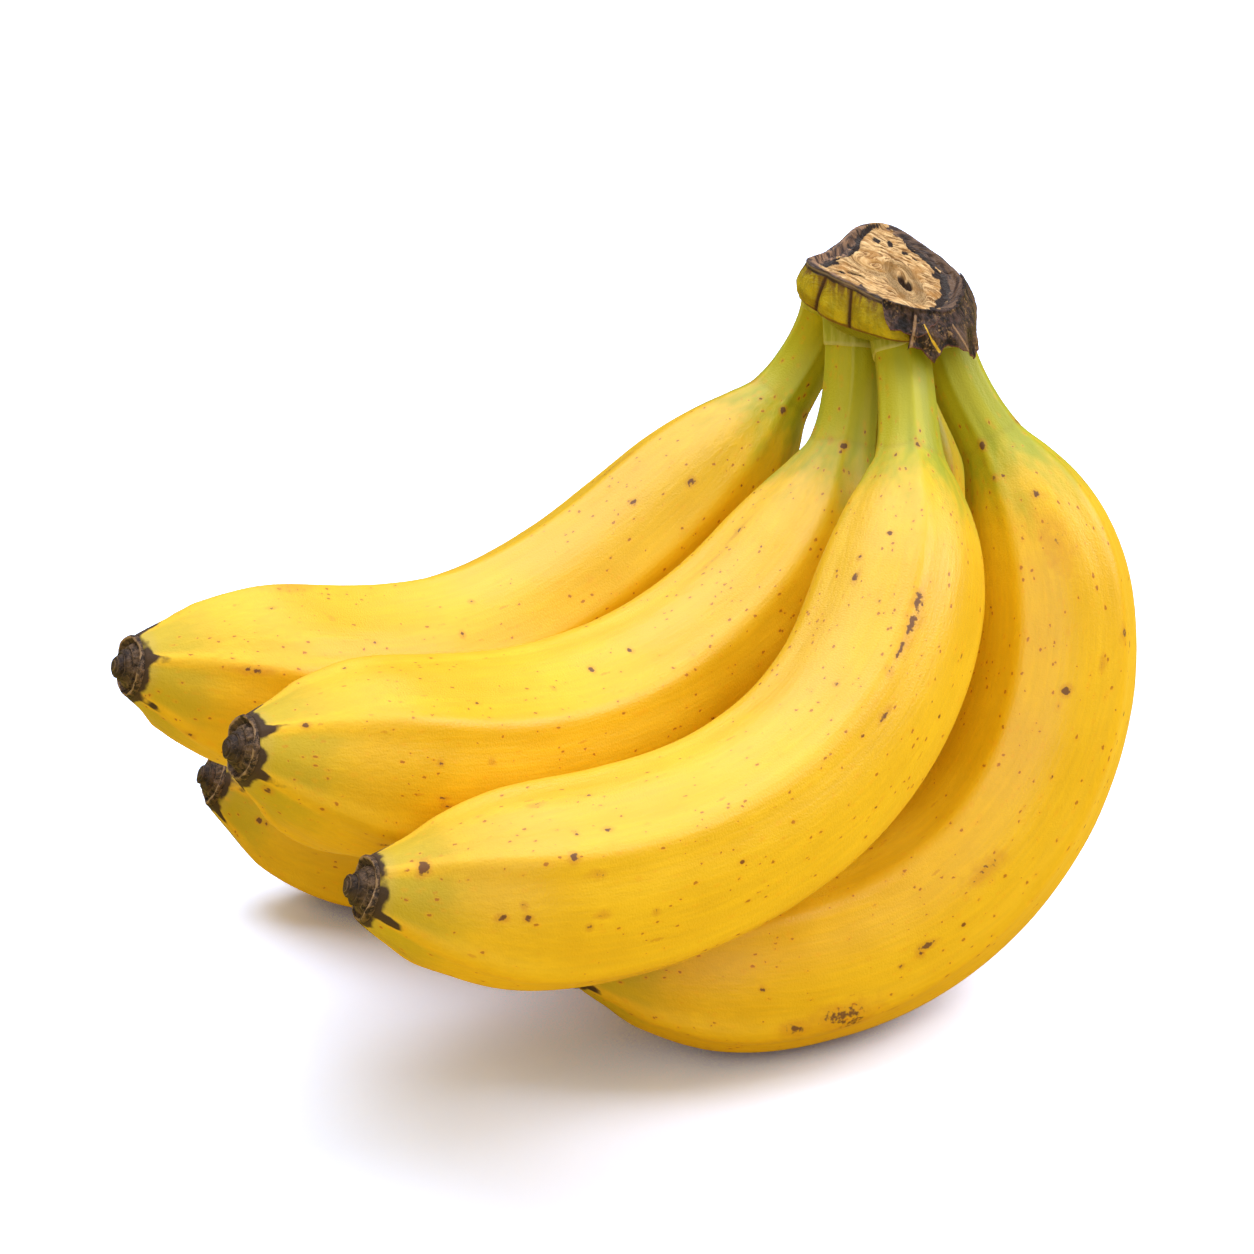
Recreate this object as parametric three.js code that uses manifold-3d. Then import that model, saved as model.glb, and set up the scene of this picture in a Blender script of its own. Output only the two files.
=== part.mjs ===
// A bunch of five ripe bananas, joined at the crown and resting on two of the fruits.
// Millimetres, +Z up, origin at the bottom centre of the bounding box.
import * as THREE from 'three';
import { mergeVertices } from 'three/addons/utils/BufferGeometryUtils.js';
import Module from 'manifold-3d';

// Fruits: six control points of each centre line, from the crown to the blossom end,
// the length of the bare stalk, the turn of the five ridges about the centre line,
// in degrees at the stalk and added towards the blossom end
const FRUITS = {
  left: {
    path: [
      [37.5, 66.5, 130.5], [43, 89.5, 102], [6, 54.5, 84],
      [-24.5, 27.5, 54.5], [-44, 24, 55.5], [-93.5, -20, 85.5],
    ],
    stalk: 29,
    turn: 24,
    twist: -30,
  },
  centre: {
    path: [
      [41.5, 58.5, 128], [44.5, 42, 87], [25.5, 22.5, 67],
      [-6, 1, 54.5], [-33, -21.5, 62], [-69, -55, 86.5],
    ],
    stalk: 28.5,
    turn: 348,
    twist: -30,
  },
  front: {
    path: [
      [50.5, 46.5, 128.5], [57.5, 10.5, 90.5], [48.5, -18.5, 63.5],
      [28, -36, 54.5], [-12.5, -59, 54], [-47, -71.5, 67.5],
    ],
    stalk: 29,
    turn: 286,
    twist: -34,
  },
  right: {
    path: [
      [60.5, 58.5, 125], [66, 39.5, 95.5], [93.5, 35.5, 101],
      [94.5, 24.5, 50.5], [79.5, 1, -3], [-11, -24.5, 26],
    ],
    stalk: 27,
    turn: 318,
    twist: -45,
  },
  back: {
    path: [
      [49, 72, 128], [64.5, 55.5, 68.5], [56, 61, 73],
      [7, 55.5, 36], [-37, 40.5, -4.5], [-86, 43.5, 28],
    ],
    stalk: 21,
    turn: 20,
    twist: -20,
  },
};
// Radius at fractions of the fruit's length past the stalk; negative is on the stalk
const GIRTH = [
  [-0.2, 5.3], [-0.04, 5.6], [0, 6.3], [0.06, 12.0], [0.14, 15.3], [0.26, 17.1], [0.42, 17.8],
  [0.58, 18.6], [0.72, 19.2], [0.84, 17.5], [0.93, 12.0], [0.97, 8.6], [1, 6.4],
];
// Height of the five ridges as a share of the radius, along the same fractions
const RIDGES = [[-0.2, 0.03], [0, 0.03], [0.2, 0.028], [0.7, 0.028], [0.9, 0.045], [1, 0.03]];
const RINGS = 40;
const SIDES = 20;
// Height of the ground that cuts the two lowest fruits flat
const REST_LEVEL = 0;
// Gap between neighbouring pieces
const GAP = 0.3;

// Dried flower remnant at each blossom end: radius and height up its axis
const REMNANT = [
  [0, 0], [6.0, 0], [6.4, 0.8], [5.9, 1.8], [4.8, 1.5], [3.3, 1.8], [2.8, 2.9], [2.5, 3.6], [2.1, 4.6],
  [1.3, 5.3], [0, 5.6],
];
const REMNANT_SIDES = 14;

// Crown: centre of the cut face, tilt of the face in degrees, and its outline
const CROWN_TOP = [49.5, 57, 138.5];
const CROWN_TILT_X = 16;
const CROWN_TILT_Y = 6;
// Radius of the cut face round its centre, every 30 degrees from the right-hand side
const CROWN_OUTLINE = [15, 13.5, 14.3, 17.5, 13.2, 10.5, 12.5, 19.5, 18.5, 19.5, 19, 16.5];
// Rings of the crown: share of the outline, added radius and height above the cut face
const CROWN_RINGS = [
  [0.45, 0, -15.5], [0.78, 0, -14], [0.92, 0.6, -11], [1, 1.6, -8.6], [1, 1.4, -5.5],
  [1, 0.6, -2.0], [0.99, 0, -0.4], [0.94, 0, 0.2], [0.88, 0, -0.3], [0.5, 0, -0.6],
];
const CROWN_SIDES = 60;
// Grooves between the old fruit bases round the crown wall, in degrees
const CROWN_GROOVES = [-118, -142, -168, -84, 20, 75, 130];
const COLLAR_LENGTH = 9;
const COLLAR_THICKNESS = 1.5;

// Dried bract that hangs over the front right of the crown: a row of ragged tips given as
// angle round the crown and length of the tip below the cut face
const BRACT = [
  [-93, 1], [-88, 4], [-82, 6], [-77, 5], [-69, 8], [-61, 5], [-53, 5.5], [-45, 6.5], [-37, 8.5],
  [-29, 7], [-20, 3],
];
const BRACT_THICKNESS = 1.6;

const MATERIALS = {
  skin: { color: 0xf0c023, roughness: 0.5, metalness: 0 },
  remnant: { color: 0x3a261c, roughness: 0.9, metalness: 0 },
  crown: { color: 0x8f8a2e, roughness: 0.8, metalness: 0 },
};

const wasm = await Module();
wasm.setup();

const toRadians = THREE.MathUtils.degToRad;

// Smooth value of a [position, value] table at x
function along(table, x) {
  let i = 0;
  while (i < table.length - 2 && x > table[i + 1][0]) i += 1;
  const slope = (k) => {
    const a = table[Math.max(k - 1, 0)];
    const b = table[Math.min(k + 1, table.length - 1)];
    return (b[1] - a[1]) / (b[0] - a[0]);
  };
  const h = table[i + 1][0] - table[i][0];
  const t = THREE.MathUtils.clamp((x - table[i][0]) / h, 0, 1);
  return (
    table[i][1] * (1 + 2 * t) * (1 - t) ** 2 +
    slope(i) * h * t * (1 - t) ** 2 +
    table[i + 1][1] * t * t * (3 - 2 * t) +
    slope(i + 1) * h * t * t * (t - 1)
  );
}

// Bezier curve of any number of control points
class CentreLine extends THREE.Curve {
  constructor(points) {
    super();
    this.points = points.map((p) => new THREE.Vector3(...p));
    this.arcLengthDivisions = 400;
  }

  getPoint(t, target = new THREE.Vector3()) {
    let row = this.points.map((p) => p.clone());
    while (row.length > 1) row = row.slice(1).map((p, i) => row[i].clone().lerp(p, t));
    return target.copy(row[0]);
  }
}

function middleOf(ring) {
  return ring.reduce((sum, p) => sum.add(p), new THREE.Vector3()).divideScalar(ring.length);
}

// Closed geometry from rings of points, with a centre point at either end
function ringSolid(rings, first, last) {
  const sides = rings[0].length;
  const points = [first, ...rings.flat(), last];
  const index = [];
  for (let j = 0; j < sides; j += 1) {
    const k = (j + 1) % sides;
    index.push(0, 1 + k, 1 + j);
    for (let i = 0; i < rings.length - 1; i += 1) {
      const a = 1 + i * sides;
      const b = a + sides;
      index.push(a + j, a + k, b + k, a + j, b + k, b + j);
    }
    const end = 1 + (rings.length - 1) * sides;
    index.push(end + j, end + k, points.length - 1);
  }
  const geometry = new THREE.BufferGeometry();
  const values = points.flatMap((p) => p.toArray());
  geometry.setAttribute('position', new THREE.Float32BufferAttribute(values, 3));
  geometry.setIndex(index);
  geometry.computeVertexNormals();
  return geometry;
}

// Frame of a fruit: its centre line and the direction square to the plane that it bends in
function fruitFrame({ path }) {
  const curve = new CentreLine(path);
  const [start, , , middle, , end] = curve.points;
  const bend = middle.clone().sub(start).cross(end.clone().sub(start)).normalize();
  return { curve, bend, length: curve.getLength() };
}

// Skin of a fruit between two distances along its centre line, swollen by extra
function fruitSolid(fruit, from, to, rings, extra = () => 0) {
  const { curve, bend, length } = fruitFrame(fruit);
  const list = [];
  for (let i = 0; i <= rings; i += 1) {
    const even = i / rings;
    const eased = (even + (1 - Math.cos(Math.PI * even)) / 2) / 2;
    const s = from + (to - from) * eased;
    const centre = curve.getPointAt(THREE.MathUtils.clamp(s / length, 0, 1));
    const tangent = curve.getTangentAt(THREE.MathUtils.clamp(s / length, 0, 1));
    if (s < 0) centre.addScaledVector(tangent, s);
    const side = bend.clone().addScaledVector(tangent, -bend.dot(tangent)).normalize();
    const out = side.clone().cross(tangent);
    const share = (s - fruit.stalk) / (length - fruit.stalk);
    const radius = along(GIRTH, share);
    const ridge = along(RIDGES, share);
    const turn = toRadians(fruit.turn + fruit.twist * share);
    const ring = [];
    for (let j = 0; j < SIDES; j += 1) {
      const angle = (2 * Math.PI * j) / SIDES;
      const r = radius * (1 + ridge * Math.cos(5 * (angle - turn))) + extra(s);
      const point = centre.clone().addScaledVector(out, r * Math.cos(angle));
      ring.push(point.addScaledVector(side, r * Math.sin(angle)));
    }
    list.push(ring);
  }
  return ringSolid(list, middleOf(list[0]), middleOf(list[rings]));
}

// Crown frame: the cut face's normal and two directions in the face
function crownFrame() {
  const slopeX = Math.sin(toRadians(CROWN_TILT_X));
  const slopeY = -Math.sin(toRadians(CROWN_TILT_Y));
  const normal = new THREE.Vector3(slopeX, slopeY, 1).normalize();
  const right = new THREE.Vector3(0, 1, 0).cross(normal).normalize();
  const back = normal.clone().cross(right);
  return { normal, right, back, centre: new THREE.Vector3(...CROWN_TOP) };
}

function crownPoint(frame, angle, radius, height) {
  return frame.centre
    .clone()
    .addScaledVector(frame.right, radius * Math.cos(angle))
    .addScaledVector(frame.back, radius * Math.sin(angle))
    .add(new THREE.Vector3(0, 0, height));
}

// Radius of the cut face at an angle, smoothly through the outline's values
function crownRadius(angle) {
  const count = CROWN_OUTLINE.length;
  const x = (((angle / (2 * Math.PI)) * count) % count + count) % count;
  const i = Math.floor(x);
  const t = x - i;
  const at = (k) => CROWN_OUTLINE[(k + count) % count];
  const slope = (k) => (at(k + 1) - at(k - 1)) / 2;
  return (
    at(i) * (1 + 2 * t) * (1 - t) ** 2 +
    slope(i) * t * (1 - t) ** 2 +
    at(i + 1) * t * t * (3 - 2 * t) +
    slope(i + 1) * t * t * (t - 1)
  );
}

function crownSolid() {
  const frame = crownFrame();
  const rings = CROWN_RINGS.map(([share, add, height]) => {
    const ring = [];
    for (let j = 0; j < CROWN_SIDES; j += 1) {
      const angle = (2 * Math.PI * j) / CROWN_SIDES;
      const wall = add > 0 ? 1 : 0;
      const groove = CROWN_GROOVES.reduce((sum, degrees) => {
        const turn = angle - toRadians(degrees);
        const away = Math.atan2(Math.sin(turn), Math.cos(turn));
        return sum + Math.exp(-((away / 0.07) ** 2));
      }, 0);
      ring.push(crownPoint(frame, angle, crownRadius(angle) * share + add - 1.1 * groove * wall, height));
    }
    return ring;
  });
  const base = crownPoint(frame, 0, 0, CROWN_RINGS[0][2]);
  const face = crownPoint(frame, 0, 0, CROWN_RINGS[CROWN_RINGS.length - 1][2]);
  return ringSolid(rings, base, face);
}

// Ragged dried bract: a curved sheet against the crown wall, closed on all sides
function bractSolid() {
  const frame = crownFrame();
  const steps = 32;
  const first = BRACT[0][0];
  const last = BRACT[BRACT.length - 1][0];
  const rings = [];
  for (let i = 0; i <= steps; i += 1) {
    const degrees = first + ((last - first) * i) / steps;
    const angle = toRadians(degrees);
    const k = Math.min(Math.floor((i / steps) * (BRACT.length - 1)), BRACT.length - 2);
    const t = (i / steps) * (BRACT.length - 1) - k;
    const tip = BRACT[k][1] * (1 - t) + BRACT[k + 1][1] * t;
    const wall = crownRadius(angle);
    const thick = BRACT_THICKNESS;
    const profile = [
      [wall - 1.5, -0.8],
      [wall + 1.2, -0.8],
      [wall + 1.6 + thick, -0.5 * tip - 1],
      [wall + 2.2 + thick, -tip - 1.5],
      [wall + 1.0, -tip - 1.5],
      [wall - 0.5, -0.5 * tip - 1],
    ];
    rings.push(profile.map(([radius, height]) => crownPoint(frame, angle, radius, height)));
  }
  return ringSolid(rings, middleOf(rings[0]), middleOf(rings[steps]));
}

function toManifold(geometry) {
  const bare = new THREE.BufferGeometry();
  bare.setAttribute('position', geometry.getAttribute('position'));
  bare.setIndex(geometry.getIndex());
  const merged = mergeVertices(bare, 1e-4);
  return new wasm.Manifold(
    new wasm.Mesh({
      numProp: 3,
      vertProperties: new Float32Array(merged.getAttribute('position').array),
      triVerts: new Uint32Array(merged.getIndex().array),
    }),
  );
}

function fromManifold(solid) {
  const mesh = solid.getMesh();
  const geometry = new THREE.BufferGeometry();
  geometry.setAttribute('position', new THREE.BufferAttribute(mesh.vertProperties, 3));
  geometry.setIndex(new THREE.BufferAttribute(mesh.triVerts, 1));
  geometry.computeVertexNormals();
  return geometry;
}

const bunch = new THREE.Group();

function place(name, geometry, material) {
  const mesh = new THREE.Mesh(geometry, new THREE.MeshStandardMaterial(MATERIALS[material]));
  mesh.name = name;
  bunch.add(mesh);
  return mesh;
}

// Fruits, cut flat where they lie on the ground
const ground = new THREE.BoxGeometry(400, 400, 40).translate(0, 0, REST_LEVEL - 20);
for (const [name, fruit] of Object.entries(FRUITS)) {
  const { length } = fruitFrame(fruit);
  let solid = toManifold(fruitSolid(fruit, 0, length, RINGS));
  if (name === 'right' || name === 'back') solid = solid.subtract(toManifold(ground));
  place(`banana_${name}`, fromManifold(solid), 'skin');
}

// Dried flower remnants
for (const [name, fruit] of Object.entries(FRUITS)) {
  const { curve } = fruitFrame(fruit);
  const outline = REMNANT.map(([radius, height]) => new THREE.Vector2(radius, height));
  const remnant = new THREE.LatheGeometry(outline, REMNANT_SIDES);
  const mesh = place(`remnant_${name}`, remnant, 'remnant');
  const tangent = curve.getTangentAt(1);
  mesh.position.copy(curve.getPointAt(1)).addScaledVector(tangent, GAP);
  mesh.quaternion.setFromUnitVectors(new THREE.Vector3(0, 1, 0), tangent);
}

// Crown with a collar round each stalk and a socket for its end
let crown = toManifold(crownSolid()).add(toManifold(bractSolid()));
for (const fruit of Object.values(FRUITS)) {
  const collar = (s) => COLLAR_THICKNESS * (1 - 0.5 * (s / COLLAR_LENGTH) ** 2);
  crown = crown.add(toManifold(fruitSolid(fruit, 1, COLLAR_LENGTH, 6, collar)));
}
for (const fruit of Object.values(FRUITS)) {
  crown = crown.subtract(toManifold(fruitSolid(fruit, -GAP, 2 * COLLAR_LENGTH, 12, () => GAP)));
}
place('crown', fromManifold(crown), 'crown');

export default bunch;
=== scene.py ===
import math
import bpy
import numpy as np
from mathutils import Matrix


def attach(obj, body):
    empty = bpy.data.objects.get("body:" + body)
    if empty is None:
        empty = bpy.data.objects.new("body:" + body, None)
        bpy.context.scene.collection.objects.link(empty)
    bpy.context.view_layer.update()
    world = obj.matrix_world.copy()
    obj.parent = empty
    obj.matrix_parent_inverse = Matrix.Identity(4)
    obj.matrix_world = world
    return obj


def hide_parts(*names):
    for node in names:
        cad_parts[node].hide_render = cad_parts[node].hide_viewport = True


# A bunch of five ripe bananas, joined at a cut crown and lying on two of the fruits.
# Metres, +Z up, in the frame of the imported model. Tables below are in millimetres.
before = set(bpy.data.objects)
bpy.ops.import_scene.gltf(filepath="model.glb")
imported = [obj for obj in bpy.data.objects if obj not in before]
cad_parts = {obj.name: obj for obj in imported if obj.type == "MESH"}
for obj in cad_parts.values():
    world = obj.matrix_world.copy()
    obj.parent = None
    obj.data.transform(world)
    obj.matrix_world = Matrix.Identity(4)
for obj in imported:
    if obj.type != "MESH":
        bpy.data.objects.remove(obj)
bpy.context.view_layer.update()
MM = 0.001

# Fruits: six control points of each centre line, from the crown to the blossom end, the
# length of the bare stalk, the angle of one of the five ridges at shares of the length
# past the stalk, and the way that the dried flower faces
FRUITS = {
    "left": {
        "path": [[37.5, 66.5, 130.5], [43, 89.5, 102], [6, 54.5, 84],
                 [-24.5, 27.5, 54.5], [-44, 24, 55.5], [-93.5, -20, 85.5]],
        "stalk": 31,
        "ridge": [[-0.2, 297], [0, 297], [0.5, 293], [0.85, 297], [0.95, 303], [1, 306]],
        "flower": [-0.85, -0.42, 0.32],
    },
    "centre": {
        "path": [[42.1, 58.5, 128], [45.3, 42, 87], [26, 22.5, 67],
                 [-6, 1, 54.5], [-33, -21.5, 62], [-69, -55, 86.5]],
        "stalk": 28.5,
        "ridge": [[-0.2, 318], [0, 316], [0.3, 310], [0.5, 304], [0.7, 303], [0.85, 307], [1, 313]],
        "flower": [-0.83, -0.43, 0.35],
    },
    "front": {
        "path": [[50.5, 46.5, 128.5], [56.3, 10.5, 90.5], [46.5, -18.5, 63.8],
                 [26.7, -36, 55], [-12.5, -59, 55], [-47, -71.5, 67.5]],
        "stalk": 28.5,
        "ridge": [[-0.2, 286], [0, 286], [0.15, 283], [0.5, 280], [0.7, 276], [0.85, 277], [0.95, 284],
                  [1, 288]],
        "flower": [-0.88, -0.32, 0.34],
    },
    "right": {
        "path": [[60.5, 58.5, 125], [66, 39.5, 95.5], [92.5, 35.5, 101],
                 [93, 24.5, 50.5], [78.5, 1, -3], [-11, -24.5, 26]],
        "stalk": 27,
        "ridge": [[-0.2, 311], [0, 312], [0.2, 314], [0.4, 310], [0.6, 302], [0.8, 292], [1, 285]],
        "flower": [-0.95, -0.25, 0.2],
    },
    "back": {
        "path": [[49, 72, 128], [64.5, 55.5, 68.5], [56, 61, 73],
                 [7, 55.5, 36], [-37, 40.5, -4.5], [-88.5, 43.5, 28.5]],
        "stalk": 21,
        "ridge": [[-0.2, 20], [0, 20], [1, 4]],
        "flower": [-0.86, -0.3, 0.41],
    },
}
# Radius, and height of the ridges as a share of it, at shares of the length past the stalk
GIRTH = [[-0.2, 5.3], [-0.06, 5.7], [0, 6.8], [0.035, 9.4], [0.07, 12.0], [0.105, 14.0], [0.14, 15.4],
         [0.18, 16.4], [0.26, 17.2], [0.42, 17.8], [0.58, 18.3], [0.72, 18.7], [0.84, 17.6],
         [0.93, 12.9], [0.97, 8.9], [1, 5.9]]
RIDGES = [[-0.2, 0.09], [0, 0.07], [0.1, 0.065], [0.3, 0.07], [0.7, 0.075], [0.88, 0.10],
          [0.96, 0.08], [1, 0.04]]

# End of a fruit that turns to face as its flower does, and how far it is drawn out; height
# and width of the peel's slow swells; depth of the crease where the stalk ends
TIP_TURN, TIP_DRAWN, SWELL, SWELL_WIDTH, CREASE = 16, 1.0, 0.22, 22, 0.05

# Marks on the peel: share of the length, angle, length and width, strength
MARKS = {
    "left": [
        [0.014, 297, 1.3, 0.9, 1.0], [0.004, 17, 1.8, 2.0, 0.6], [0.0, 239, 1.6, 2.0, 0.7],
        [0.02, 334, 1.0, 0.7, 0.8], [0.26, 337, 1.3, 0.8, 0.9],
        [0.185, 319, 1.6, 1.0, 0.9], [0.55, 337, 1.1, 0.8, 0.8], [0.59, 317, 1.0, 1.0, 0.9],
        [0.785, 336, 1.0, 0.8, 0.8], [0.235, 16, 9, 1.6, 0.6], [0.21, 11, 6, 1.0, 0.5],
        [0.815, 5, 9, 2.4, 0.5], [0.86, 348, 1.6, 0.8, 0.7], [0.905, 297, 5, 0.9, 0.7],
        [0.94, 228, 1.2, 1.0, 0.8],
    ],
    "centre": [
        [-0.006, 40, 2.2, 2.5, 0.55], [0.005, 316, 1.2, 1.0, 1.0], [0.0, 340, 1.2, 0.9, 0.6],
        [0.467, 335, 1.0, 0.9, 1.0], [0.54, 331, 1.2, 1.1, 1.0],
        [0.615, 324, 0.9, 0.7, 0.8], [0.962, 311, 0.8, 0.7, 1.0], [0.745, 283, 1.0, 0.9, 0.8],
        [0.80, 257, 2.0, 0.7, 0.8], [0.81, 262, 1.6, 0.7, 0.8], [0.82, 283, 1.0, 0.8, 0.8],
        [0.98, 222, 1.4, 1.2, 0.8], [0.85, 224, 1.4, 1.0, 0.8], [0.185, 5, 5, 0.8, 0.7],
        [0.25, 3, 6, 0.7, 0.6],
    ],
    "front": [
        [0.0, 285, 1.1, 0.7, 0.9], [0.0, 18, 1.6, 2.0, 0.6], [0.225, 280, 3.0, 1.1, 1.0],
        [0.25, 279, 9, 2.0, 0.6], [0.26, 280, 3.4, 0.7, 1.0], [0.295, 280, 2.8, 0.5, 0.95],
        [0.325, 279, 2.2, 0.5, 0.9],
        [0.372, 268, 2.6, 0.8, 0.9], [0.21, 324, 1.7, 0.9, 1.0], [0.14, 308, 0.8, 0.8, 1.0],
        [0.178, 325, 1.0, 0.7, 0.9], [0.24, 303, 0.7, 0.7, 0.8], [0.375, 303, 0.8, 0.8, 0.9],
        [0.815, 276, 1.3, 1.1, 1.0], [0.79, 266, 2.2, 1.0, 0.7], [0.825, 319, 3.0, 0.9, 0.7],
        [0.76, 290, 1.6, 0.7, 0.8], [0.80, 291, 0.9, 0.7, 0.9], [0.865, 244, 1.2, 1.0, 0.9],
        [0.87, 252, 1.0, 0.8, 0.8], [0.89, 244, 1.4, 0.9, 0.9], [0.80, 237, 0.8, 0.8, 0.9],
        [0.725, 239, 0.8, 0.8, 0.9], [0.785, 243, 1.8, 1.0, 0.7], [0.965, 286, 1.1, 2.0, 1.0],
    ],
    "right": [
        [-0.006, 223, 1.4, 1.6, 0.7], [0.0, 311, 1.2, 0.9, 1.0], [0.04, 312, 0.8, 0.8, 0.8],
        [0.13, 281, 9, 4, 0.5], [0.075, 282, 1.0, 1.0, 0.9],
        [0.295, 280, 1.6, 1.3, 1.0], [0.23, 242, 1.6, 1.0, 0.8], [0.26, 257, 2.4, 0.8, 0.7],
        [0.53, 270, 7, 2.2, 0.6], [0.635, 252, 2.6, 0.9, 1.0], [0.645, 250, 1.0, 1.6, 0.8],
        [0.67, 247, 1.0, 0.8, 0.8], [0.74, 228, 7, 3.0, 0.72], [0.73, 221, 4, 2.4, 0.75],
        [0.79, 225, 4, 2.0, 0.72], [0.83, 253, 0.9, 0.8, 0.9],
    ],
    "back": [[0.955, 266, 1.1, 0.9, 1.0], [0.945, 268, 0.9, 0.7, 0.9], [0.0, 308, 1.4, 1.4, 1.0]],
}

# Dried flower remnant: radius and height of its profile from the peel to the nub, and the
# places along it of the lip, worn pale, and of the step edges, painted pale as a highlight
REMNANT = [[4.8, -1.0], [5.4, -0.7], [5.75, -0.1], [5.8, 0.5], [5.5, 0.95], [5.1, 1.0], [4.8, 0.7],
           [4.45, 0.5], [4.2, 0.65], [3.95, 1.25], [3.6, 1.5], [3.25, 1.45], [3.05, 1.9], [2.9, 2.4],
           [2.5, 2.6], [2.25, 2.55], [2.1, 3.0], [2.0, 3.45], [1.7, 3.7], [1.35, 3.6], [1.15, 3.85],
           [0.8, 4.05], [0.3, 4.0]]
REMNANT_LIP, REMNANT_HIGHLIGHT_STEPS = 4.4, (10, 14, 18, 20.6)

# Crown: centre of the cut face, tilt of the face in degrees, and the radius of the
# face every 30 degrees from the right-hand side
CROWN_TOP = [49.5, 57, 138.5]
CROWN_TILT = [16, 6]
CROWN_OUTLINE = [15, 13.5, 14.3, 17.5, 13.2, 10.5, 12.5, 19.5, 18.5, 20.3, 20.6, 16.5]
# Wall from below to the rim: share of the outline, added radius and height, and how much
# of that height is left at angles round the crown; height of the skirt's top
CROWN_WALL = [[0.0, 0, -15.0], [0.45, 0, -15.0], [0.80, 0, -12.5], [0.92, 0, -9.7], [0.98, 0.7, -9.5],
              [1, 1.4, -9.0], [1, 1.9, -8.0], [1, 2.0, -6.2], [1, 1.5, -3.6], [1, 0.7, -1.4],
              [1, 0.5, -0.6], [1, 0.5, -0.1], [1, 0.1, 0.25]]
CROWN_DEPTH = [[-180, 0.78], [-155, 0.92], [-128, 1.02], [-98, 0.84], [-70, 0.72], [-20, 0.75],
               [60, 0.85], [120, 0.9], [180, 0.78]]
SKIRT = -9.5
# Left corner of the rim: angle, and how far the rim dips there
RIM_CORNER, RIM_DIP = -172, 1.7
# Creases of the wall: angle at the rim, and turn on the way down
CROWN_SEAMS = [[-134, -6], [-117, 0], [-84, 4], [20, 3], [75, -4], [130, 5]]
# On the cut face, right and back of its centre: the knot, the hole, the slit, and the dark
# spots with their half width and half depth
KNOT, HOLE, SLIT = (-2.9, -3.3), (2.7, -8.0), (-7.5, -10.4)
SPOTS = [[0.4, 10, 0.8, 1.9], [-2.6, 9.5, 1.2, 1.4], [3.4, 6.9, 0.9, 1.2], [5.6, 5.2, 0.9, 0.9],
         [9.6, 0.2, 1.0, 1.6], [11.2, -3.0, 1.0, 1.4], [-12.8, -6.5, 2.4, 0.8],
         [-11.5, -11.5, 2.8, 0.7], [-7.8, 3.5, 1.1, 0.9]]
# Share of the face that the pale pith reaches at angles round the crown, and how dark the
# burnt band beyond it is
PITH_EDGE = [[-180, 0.66], [-168, 0.60], [-150, 0.78], [-138, 0.97], [-120, 1.0], [-100, 1.0],
             [-85, 1.03], [-72, 1.02], [-64, 0.92], [-53, 0.80], [-34, 0.77], [-5, 0.71], [21, 0.74],
             [43, 0.73], [67, 0.76], [85, 0.92], [100, 0.92], [112, 0.87], [130, 0.78], [146, 0.75],
             [165, 0.70], [180, 0.66]]
CHAR = [[-180, 1.0], [-150, 0.7], [-135, 0.3], [-100, 0.15], [-80, 0.3], [-60, 1.0], [0, 1.0],
        [40, 0.9], [60, 0.8], [85, 0.3], [100, 0.5], [115, 1.0], [150, 1.1], [180, 1.0]]
# Dried bract, in two lobes: angle and height of the tips, height of the notches between
# them, turn of the left side on the way down, distance off the wall, and height of the
# folds at angles round the crown
BRACT = {
    "left": {
        "tips": [[-97, -0.2], [-92, -4.2], [-79, -4.4], [-66, -0.4]],
        "notches": [-2.6, -4.0, -2.0], "turn": 0, "off": 0.0,
        "folds": [[-97, 0], [-91, 0.6], [-85, -0.5], [-79, 0.2], [-66, 0]],
    },
    "right": {
        "tips": [[-79, -6.9], [-67, -8.4], [-36.5, -10.2], [-12, -7.7], [8, -1.2]],
        "notches": [-6.3, -5.5, -7.4, -3.8], "turn": -5, "off": 0.6,
        "folds": [[-84, 0.8], [-77, -0.3], [-70, 0.9], [-63, -0.9], [-57, 0.7], [-52, 0.9], [-46, -0.7],
                  [-34, 0.5], [-24, -0.3], [-12, 0.8], [8, 0]],
    },
}
# Splinters and pale crests of the bract, all drawn on both lobes: angle and height of the
# two ends, width, strength
SPLINTERS = [[-75, -1.9, -71, -5.0, 0.16, 1.0], [-71.5, -4.4, -69, -5.9, 0.30, 1.0]]
CRESTS = [[-58, -1.8, -51, -6.9, 0.22, 1.0], [-79, -1.0, -83, -6.8, 0.35, 0.8]]

# Collars round the tops of the stalks: reach down the stalk and swelling. Their profile is
# the share of the reach and of the swelling, from inside the stalk, over and under the edge.
COLLARS = {"left": [5.0, 0.1], "centre": [8.2, 0.3], "front": [6.4, 0.35], "right": [7.0, 0.3],
           "back": [6.5, 0.3]}
COLLAR_PROFILE = [[0.0, -1.0], [0.0, 1.2], [0.2, 1.4], [0.4, 1.3], [0.7, 1.15], [0.86, 1.0],
                  [0.95, 0.8], [1.0, 0.45], [1.0, 0.0], [0.97, -0.6]]
# Shoulders between the crown and the stalks that leave it at its side and back: start along
# the stalk, reach of its straight part, and the end inside the crown. Their radius is given
# at shares of the way.
SHOULDERS = {"left": [3.5, 4.0, [46, 59, 128]], "back": [3.0, 5.5, [49.5, 60, 128.5]],
             "right": [3.0, 4.5, [54, 58, 129]]}
SHOULDER_RADIUS = [[0, 4.6], [0.03, 5.7], [0.08, 6.1], [0.3, 6.3], [0.6, 6.3], [1, 5.6]]


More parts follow.
